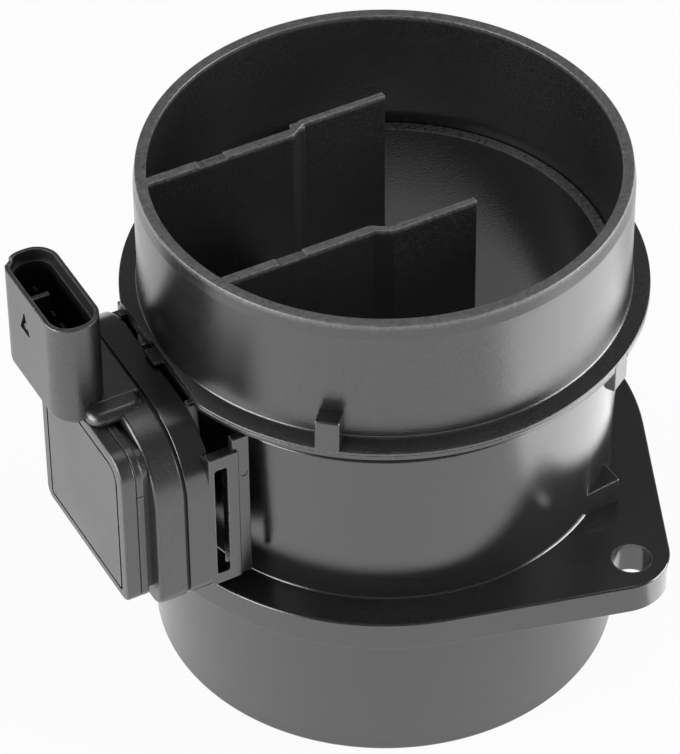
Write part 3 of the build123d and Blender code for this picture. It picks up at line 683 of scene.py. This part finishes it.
socket_x, socket_y, socket_half_depth, socket_half_width, socket_corner = -61.4, 4.9, 4.9, 11.8, 4.4
socket_low, socket_rim, socket_wall, socket_floor = 73.5, 95.0, 1.25, 79.0
SHROUD_STEPS = 12                # facets in the shroud's corners
bridge_high, lid_clearance = 77.0, 0.3
shroud_low = lid_high + lid_clearance
shroud_plan = box_outline(
    socket_x, socket_y, 2 * socket_half_depth, 2 * socket_half_width, socket_corner, SHROUD_STEPS,
)
shroud = prism("shroud", shroud_plan, socket_low, socket_rim, 1.6, 0.3)
bridge = prism(
    "bridge",
    box_outline(
        (socket_x - block_back) / 2, socket_y,
        -block_back - socket_x, 2 * (socket_half_width - BITE), 0.6,
    ),
    shroud_low, bridge_high, 0, 0.5,
)
roof_low = pad_high - pad_high_radius
roof_plan = box_outline(
    -block_back - block_thickness / 2, socket_y,
    block_thickness - 2 * BITE, 2 * (socket_half_width - 2 * BITE), 0.6,
)
roof = prism("roof", roof_plan, roof_low, bridge_high - BITE, 0, 0.5)
room_front, room_side = 0.5, 0.4
room_plan = box_outline(
    -(frame_back - recess_thickness / 4 + cover_face + room_front) / 2, lid_centre,
    cover_face + room_front - frame_back, 2 * lid_half_width + 2 * room_side,
)
lid_room = prism("lid_room", room_plan, lid_low - OVERRUN, shroud_low)
bulge_length, bulge_width, bulge_y, bulge_round, bulge_steps = 10.6, 7.0, -6.9, 2.6, 10
bulge = prism(
    "bulge",
    box_outline(
        -block_back - 3 * BITE - bulge_length / 2, bulge_y,
        bulge_length, bulge_width, bulge_round, bulge_steps,
    ),
    shroud_low + 2 * BITE, bridge_high - 3 * BITE, 0.4, 1.6,
)
shape(module_housing, "UNION", shroud, bridge, roof, bulge)
shape(module_housing, "DIFFERENCE", lid_room)
mouth_half_depth, mouth_half_width = socket_half_depth - socket_wall, socket_half_width - socket_wall
mouth_corner = socket_corner - socket_wall
mouth_plan = box_outline(
    socket_x, socket_y, 2 * mouth_half_depth, 2 * mouth_half_width, mouth_corner, SHROUD_STEPS,
)
socket = prism("socket", mouth_plan, socket_floor, socket_rim + OVERRUN)
shape(module_housing, "DIFFERENCE", socket)

probe_half_width, probe_low, probe_high, probe_tip = 7.15, 47.25, 67.75, 12.0
probe_mid, probe_round = (probe_low + probe_high) / 2, 1.2
duct_start, duct_length, duct_half_width = 16.0, 15.0, 4.4
probe_cover_thickness, probe_cover_margin = 1.3, 2.0
carrier_half_height, carrier_thickness = 3.4, 1.2
cavity_floor, cavity_wall = 1.8, 2.2
probe_arm = prism(
    "probe_arm",
    upright_outline(0, probe_half_width, probe_low, probe_high, probe_round, probe_round),
    probe_tip, block_back + OVERRUN, 0.8, 0, SIDE,
)
shape(module_housing, "UNION", probe_arm)
duct = prism(
    "bypass_duct",
    box_outline(
        -duct_start - duct_length / 2, (duct_half_width - probe_half_width - OVERRUN) / 2,
        duct_length, duct_half_width + probe_half_width + OVERRUN, 0.8,
    ),
    probe_low - OVERRUN, probe_high + OVERRUN,
)
cover_seat = prism(
    "cover_seat",
    box_outline(
        -duct_start - duct_length / 2, probe_mid,
        duct_length + 2 * probe_cover_margin, probe_high - probe_low + 2 * OVERRUN,
    ),
    probe_half_width - probe_cover_thickness, probe_half_width + OVERRUN, facing=FLANK,
)
carrier_slot = prism(
    "carrier_slot",
    box_outline(0, probe_mid, carrier_thickness, 2 * carrier_half_height),
    duct_start + duct_length - OVERRUN, block_back + cavity_floor + OVERRUN, facing=SIDE,
)
cavity = prism(
    "cavity", lid_outline(cavity_wall), block_back + cavity_floor, frame_back + OVERRUN, facing=SIDE,
)
shape(module_housing, "DIFFERENCE", duct, cover_seat, carrier_slot, cavity)

key_y, key_width, key_depth, key_drop, key_root, key_foot = 7.6, 1.1, 4.3, 3.2, 0.2, 0.5
inner_wall_x = socket_x - socket_half_depth + socket_wall
key_rib = prism(
    "key_rib",
    box_outline(inner_wall_x + key_depth / 2 - key_root, key_y, key_depth + 2 * key_root, key_width, 0.25),
    socket_floor - key_foot, socket_rim - key_drop, 0, 0.2,
)
shape(module_housing, "UNION", key_rib)
latch_y, latch_high, latch_low, latch_half_width, latch_depth = 6.0, 91.0, 86.2, 2.0, 0.8
shroud_face = -socket_x + socket_half_depth
latch = prism(
    "latch",
    rounded([
        (-latch_y - latch_half_width, latch_low, 0.3),
        (-latch_y + latch_half_width, latch_low, 0.3),
        (-latch_y, latch_high, 0.3),
    ]),
    shroud_face - latch_depth, shroud_face + OVERRUN, facing=SIDE,
)
step_drop, step_depth = 2.2, 0.45
step_plan = box_outline(
    socket_x, socket_y, 2 * (mouth_half_depth + step_depth), 2 * (mouth_half_width + step_depth),
    mouth_corner + step_depth, SHROUD_STEPS,
)
mouth_step = prism("mouth_step", step_plan, socket_rim - step_drop, socket_rim + OVERRUN)
rim_notch_depth, rim_notch_width, rim_notch_drop = 1.6, 1.8, 1.0
rim_notch_plan = box_outline(
    socket_x - socket_half_depth + 1.4, socket_y + socket_half_width - 1.6,
    rim_notch_depth, rim_notch_width, 0.3,
)
rim_notch = prism("rim_notch", rim_notch_plan, socket_rim - rim_notch_drop, socket_rim + OVERRUN)
shape(module_housing, "DIFFERENCE", latch, mouth_step, rim_notch)
nub_shift, nub_rise, nub_size, nub_root, nub_setback = 0.2, 1.1, 1.2, 0.2, 0.25
nub = prism(
    "latch_nub",
    box_outline(-latch_y - nub_shift, latch_low + nub_rise, nub_size, nub_size, 0.3),
    shroud_face - latch_depth - nub_root, shroud_face - nub_setback, 0, 0.15, SIDE,
)
shape(module_housing, "UNION", nub)
dress(module_housing, module_plastic, "module_housing")

# ------------------------------------------------------------------ housing seal
# Gasket die-cut from dull black rubber sheet and squeezed between the pad and the block. It is set in
# from their edges, so it shows only as the dark line round the module.

seam_inset = 0.6
seal_rubber = plastic(
    "seal_rubber", (0.008, 0.008, 0.008), (0.7, 0.8), mottle=0.0, grain_size=1500, edge_amount=0.0,
)
housing_seal = prism("housing_gasket", inset(pad_plan, seam_inset), pad_face, block_back, facing=SIDE)
dress(housing_seal, seal_rubber, "housing_seal")

# ------------------------------------------------------------------ lid frame and cover
# A nylon frame bonded on the housing's recessed neck, with a fine split line on its side, and the nylon cover
# bonded on the frame. The cover has a bare panel inside a fine moulded groove.

lid_frame = prism("lid_frame_moulding", lid_outline(0), frame_back, frame_face, 0.3, 0.3, SIDE)
split_height, split_depth, split_width, split_over = 66.6, 0.5, 0.28, 0.2
split = prism(
    "split",
    box_outline(lid_half_width - lid_centre, split_height, split_depth, split_width),
    frame_back - split_over, frame_face + split_over, facing=SIDE,
)
shape(lid_frame, "DIFFERENCE", split)
dress(lid_frame, module_plastic, "lid_frame")
module_cover = prism("module_cover_moulding", lid_outline(0), frame_face, cover_face, 0.3, 0.5, SIDE)
panel_side, panel_foot, groove_width, groove_depth = 2.05, 1.65, 0.6, 0.9
panel_foot_round, panel_head_round = 1.0, 3.4
outer_groove, inner_groove = [
    upright_outline(
        lid_centre, lid_half_width - panel_side - step,
        lid_low + panel_foot + step, lid_high - panel_side - step,
        panel_foot_round - step, panel_head_round - step,
    )
    for step in (0, groove_width)
]
groove = prism("groove", outer_groove, cover_face - groove_depth, cover_face + OVERRUN, facing=SIDE)
island = prism("island", inner_groove, cover_face - 2 * groove_depth, cover_face + 2 * OVERRUN, facing=SIDE)
shape(groove, "DIFFERENCE", island)
shape(module_cover, "DIFFERENCE", groove)
dress(module_cover, module_plastic, "module_cover")

# ------------------------------------------------------------------ collar seal
# Triangular rubber seal in the corner between the collar's stub and the body's lip, squeezed as
# the collar snaps home. Only its edge could be seen, and only from below the ring.


def finish(name, material):
    """Gives a solid that keeps its own shape the finish of its real piece."""
    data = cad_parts[name].data
    data.materials.clear()
    data.materials.append(material)


finish("collar_seal", seal_rubber)

# ------------------------------------------------------------------ terminals
# Five flat blade terminals stamped from copper strip and tin plated, moulded into the floor of the
# socket. Their tin is painted dark as shade, so that the socket reads dark.


def worn_metal():
    """Node group for plated and rolled metal: streaks along one direction, tarnish and fine scratches."""
    group, given, result = new_group(
        "worn_metal",
        (("Colour", "Color"), ("Tarnish", "Color"), ("Tarnish Amount", "Float"),
         ("Gloss Low", "Float"), ("Gloss High", "Float")),
        (("Colour", "Color"), ("Roughness", "Float"), ("Height", "Float")),
    )
    links = group.links
    place = add_node(group, "TexCoord")
    drawn = add_node(group, "Mapping", values={"Scale": (1.0, 1.0, 0.04)})
    links.new(place.outputs["Object"], drawn.inputs["Vector"])
    streaks = add_node(group, "TexNoise", values={"Scale": 4000.0, "Detail": 3.0})
    links.new(drawn.outputs["Vector"], streaks.inputs["Vector"])
    clouds = add_node(group, "TexNoise", values={"Scale": 420.0, "Detail": 4.0})
    links.new(place.outputs["Object"], clouds.inputs["Vector"])
    dull = add_node(group, "Math", {"operation": "MULTIPLY"})
    links.new(clouds.outputs["Fac"], dull.inputs[0])
    links.new(given.outputs["Tarnish Amount"], dull.inputs[1])
    base = add_node(group, "Mix", {"data_type": "RGBA"})
    links.new(dull.outputs["Value"], base.inputs["Factor"])
    links.new(given.outputs["Colour"], base.inputs["A"])
    links.new(given.outputs["Tarnish"], base.inputs["B"])
    links.new(base.outputs["Result"], result.inputs["Colour"])
    gloss = add_node(group, "MapRange", values={"From Min": 0.3, "From Max": 0.7})
    links.new(streaks.outputs["Fac"], gloss.inputs["Value"])
    links.new(given.outputs["Gloss Low"], gloss.inputs["To Min"])
    links.new(given.outputs["Gloss High"], gloss.inputs["To Max"])
    links.new(gloss.outputs["Result"], result.inputs["Roughness"])
    links.new(streaks.outputs["Fac"], result.inputs["Height"])
    return group


WORN_METAL = worn_metal()


def metal(name, colour, tarnish, tarnish_amount, gloss):
    """Metal with the shared streaks and tarnish."""
    material = bpy.data.materials.new(name)
    material.use_nodes = True
    tree = material.node_tree
    surface = tree.nodes["Principled BSDF"]
    surface.inputs["Metallic"].default_value = 1.0
    layered = tree.nodes.new("ShaderNodeGroup")
    layered.node_tree = WORN_METAL
    for label, value in (
        ("Colour", (*colour, 1)), ("Tarnish", (*tarnish, 1)), ("Tarnish Amount", tarnish_amount),
        ("Gloss Low", gloss[0]), ("Gloss High", gloss[1]),
    ):
        layered.inputs[label].default_value = value
    tree.links.new(layered.outputs["Colour"], surface.inputs["Base Color"])
    tree.links.new(layered.outputs["Roughness"], surface.inputs["Roughness"])
    bump = add_node(tree, "Bump", values={"Strength": 0.3, "Distance": 0.01 * MM})
    tree.links.new(layered.outputs["Height"], bump.inputs["Height"])
    tree.links.new(bump.outputs["Normal"], surface.inputs["Normal"])
    return material


# Painted shade: the tin and its tarnish are far darker than tin, so the terminals read as the socket's shade.
shade_darkened_tin = metal("shade_darkened_tin", (0.07, 0.068, 0.065), (0.03, 0.028, 0.025), 0.8, (0.5, 0.65))
TERMINAL_COUNT = 5
for terminal in range(1, TERMINAL_COUNT + 1):
    finish(f"terminal_{terminal}", shade_darkened_tin)

# ------------------------------------------------------------------ base plate
# Flat plate stamped from rolled aluminium sheet and laid in the housing under the electronics. It
# carries their heat away.

rolled_aluminium = metal("rolled_aluminium", (0.62, 0.62, 0.64), (0.35, 0.35, 0.36), 0.5, (0.32, 0.48))
finish("base_plate", rolled_aluminium)

# ------------------------------------------------------------------ circuit board
# Pale ceramic board, fired and cut to a rectangle and glued flat on the plate. The control chip and
# the capacitors are soldered on it.

fired_ceramic = plastic(
    "fired_ceramic", (0.55, 0.56, 0.52), (0.5, 0.62), mottle=0.1, grain_size=4500, grain_height=0.02,
    edge_amount=0.2, worn_and_highlit=(0.4, 0.4, 0.38), ior=1.5, sheen=0.4,
)
finish("circuit_board", fired_ceramic)

# ------------------------------------------------------------------ control chip
# Package moulded from black filled resin round the silicon and soldered to the board. Its top is
# faintly grained by the tool.

chip_resin = plastic(
    "chip_resin", (0.018, 0.018, 0.019), (0.45, 0.55), mottle=0.03, grain_size=5200, grain_height=0.03,
    edge_amount=0.2, ior=1.5, sheen=0.5,
)
finish("control_chip", chip_resin)

# ------------------------------------------------------------------ chip capacitors
# Small tan blocks of layered ceramic, pressed, diced and fired. They are soldered in a row beside
# the chip.

capacitor_body = plastic(
    "capacitor_body", (0.42, 0.30, 0.20), (0.35, 0.5), mottle=0.08, grain_size=6000, grain_height=0.01,
    edge_amount=0.3, worn_and_highlit=(0.5, 0.48, 0.45), ior=1.5, sheen=0.5,
)
finish("chip_capacitors", capacitor_body)

# ------------------------------------------------------------------ sensor carrier and hot film
# Thin ceramic strip that reaches from the board down the probe arm, with the glassy heated film
# at the end that sits in the air stream.

finish("sensor_carrier", fired_ceramic)
film_glass = plastic(
    "film_glass", (0.06, 0.075, 0.09), (0.06, 0.14), mottle=0.05, grain_size=3500, grain_height=0.005,
    edge_amount=0.1, ior=1.5, sheen=0.5,
)
finish("hot_film", film_glass)

# ------------------------------------------------------------------ probe cover
# Flat lid moulded from the same nylon as the housing and bonded in a seat on the side of the probe
# arm, where it closes the bypass duct.

finish("probe_cover", module_plastic)

# ------------------------------------------------------------------ temperature bead
# Glazed ceramic bead that measures the air's temperature. Two bright drawn wires carry it and hold it
# out from the probe arm.

bright_wire = metal("bright_wire", (0.66, 0.64, 0.6), (0.3, 0.28, 0.25), 0.4, (0.25, 0.4))
finish("bead_leads", bright_wire)
bead_glaze = plastic(
    "bead_glaze", (0.22, 0.10, 0.05), (0.08, 0.16), mottle=0.04, grain_size=5000, grain_height=0.01,
    edge_amount=0.0, ior=1.5, sheen=0.5,
)
finish("temperature_bead", bead_glaze)

# ------------------------------------------------------------------ stage
# Pale floor that stays white to the camera and in reflections, with a painted shadow under the part in its
# reflections, and keeps the part's shadow. Two soft boxes stand low at the sides, with a weak one overhead
# and a small card by the floor, and the camera looks down with the module on its left.

FLOOR_REACH = 3.0
floor_mesh = bpy.data.meshes.new("floor")
floor_corners = [(x * FLOOR_REACH, y * FLOOR_REACH, 0) for x, y in ((-1, -1), (1, -1), (1, 1), (-1, 1))]
floor_mesh.from_pydata(floor_corners, [], [(0, 1, 2, 3)])
floor = bpy.data.objects.new("floor", floor_mesh)
bpy.context.scene.collection.objects.link(floor)
floor_white = bpy.data.materials.new("floor_white")
floor_white.use_nodes = True
floor_tree = floor_white.node_tree
floor_links = floor_tree.links
matt = floor_tree.nodes["Principled BSDF"]
matt.inputs["Base Color"].default_value = (0.9, 0.9, 0.9, 1)
matt.inputs["Roughness"].default_value = 0.8
matt.inputs["Specular IOR Level"].default_value = 0.2
white = add_node(floor_tree, "Emission", values={"Color": (1, 1, 1, 1), "Strength": 1.0})
ray = add_node(floor_tree, "LightPath")

camera_share = 0.94
# Painted shadow: what reflections see of the floor is darker within the part's footprint.
shade_inner, shade_outer, shade_depth = 34, 46, 0.5
floor_place = add_node(floor_tree, "TexCoord")
floor_distance = add_node(floor_tree, "VectorMath", {"operation": "LENGTH"})
floor_links.new(floor_place.outputs["Object"], floor_distance.inputs[0])
painted_floor_shadow = add_node(floor_tree, "MapRange", values={
    "From Min": shade_inner * MM, "From Max": shade_outer * MM, "To Min": shade_depth, "To Max": 1.0,
})
floor_links.new(floor_distance.outputs["Value"], painted_floor_shadow.inputs["Value"])
mirrored = add_node(floor_tree, "Math", {"operation": "MULTIPLY"})
floor_links.new(ray.outputs["Is Glossy Ray"], mirrored.inputs[0])
floor_links.new(painted_floor_shadow.outputs["Result"], mirrored.inputs[1])
seen = add_node(floor_tree, "Math", {"operation": "MULTIPLY_ADD"}, {1: camera_share})
floor_links.new(ray.outputs["Is Camera Ray"], seen.inputs[0])
floor_links.new(mirrored.outputs["Value"], seen.inputs[2])
lit = add_node(floor_tree, "Math", {"operation": "ADD", "use_clamp": True})
floor_links.new(seen.outputs["Value"], lit.inputs[0])
floor_links.new(ray.outputs["Is Transmission Ray"], lit.inputs[1])
blend = add_node(floor_tree, "MixShader")
floor_links.new(lit.outputs["Value"], blend.inputs["Fac"])
floor_links.new(matt.outputs["BSDF"], blend.inputs[1])
floor_links.new(white.outputs["Emission"], blend.inputs[2])
floor_links.new(blend.outputs["Shader"], floor_tree.nodes["Material Output"].inputs["Surface"])
floor.data.materials.append(floor_white)

world = bpy.data.worlds.new("studio")
bpy.context.scene.world = world
world.use_nodes = True
sky = world.node_tree.nodes["Background"]
sky.inputs["Color"].default_value = (1, 1, 1, 1)
sky.inputs["Strength"].default_value = 0.12


def soft_box(name, place, width, height, energy, target=(0, 0, 0.05)):
    """Rectangular soft box aimed at the part, or at another target."""
    light = bpy.data.lights.new(name, "AREA")
    light.shape = "RECTANGLE"
    light.size, light.size_y = width, height
    light.energy = energy
    made = bpy.data.objects.new(name, light)
    bpy.context.scene.collection.objects.link(made)
    made.location = place
    made.rotation_euler = (Vector(target) - Vector(place)).to_track_quat("-Z", "Y").to_euler()
    made.visible_camera = False


soft_box("left_box", (-0.75, 0.05, 0.25), width=0.8, height=0.5, energy=7)
soft_box("right_box", (0.70, -0.35, 0.25), width=0.6, height=0.5, energy=8)
soft_box("top_box", (0.10, 0.25, 1.0), width=0.5, height=0.5, energy=1)
soft_box("right_card", (0.10, -0.07, 0.003), width=0.11, height=0.15, energy=0.07, target=(0.10, -0.07, 1))

focal_pixels, image_height, sensor_width = 4356.49, 754, 36.0
camera_data = bpy.data.cameras.new("camera")
camera_data.sensor_width = sensor_width
camera_data.lens = focal_pixels * sensor_width / image_height
camera_place = (-0.27758, -0.51123, 0.57691)
camera_heading, camera_dip, camera_roll = 62.287, 42.0455, -0.5675
camera = bpy.data.objects.new("camera", camera_data)
bpy.context.scene.collection.objects.link(camera)
camera.matrix_world = (
    Matrix.Translation(camera_place)
    @ Matrix.Rotation(math.radians(camera_heading - 90), 4, "Z")
    @ Matrix.Rotation(math.radians(90 - camera_dip), 4, "X")
    @ Matrix.Rotation(math.radians(camera_roll), 4, "Z")
)
bpy.context.scene.camera = camera
bpy.context.scene.view_settings.view_transform = "Standard"
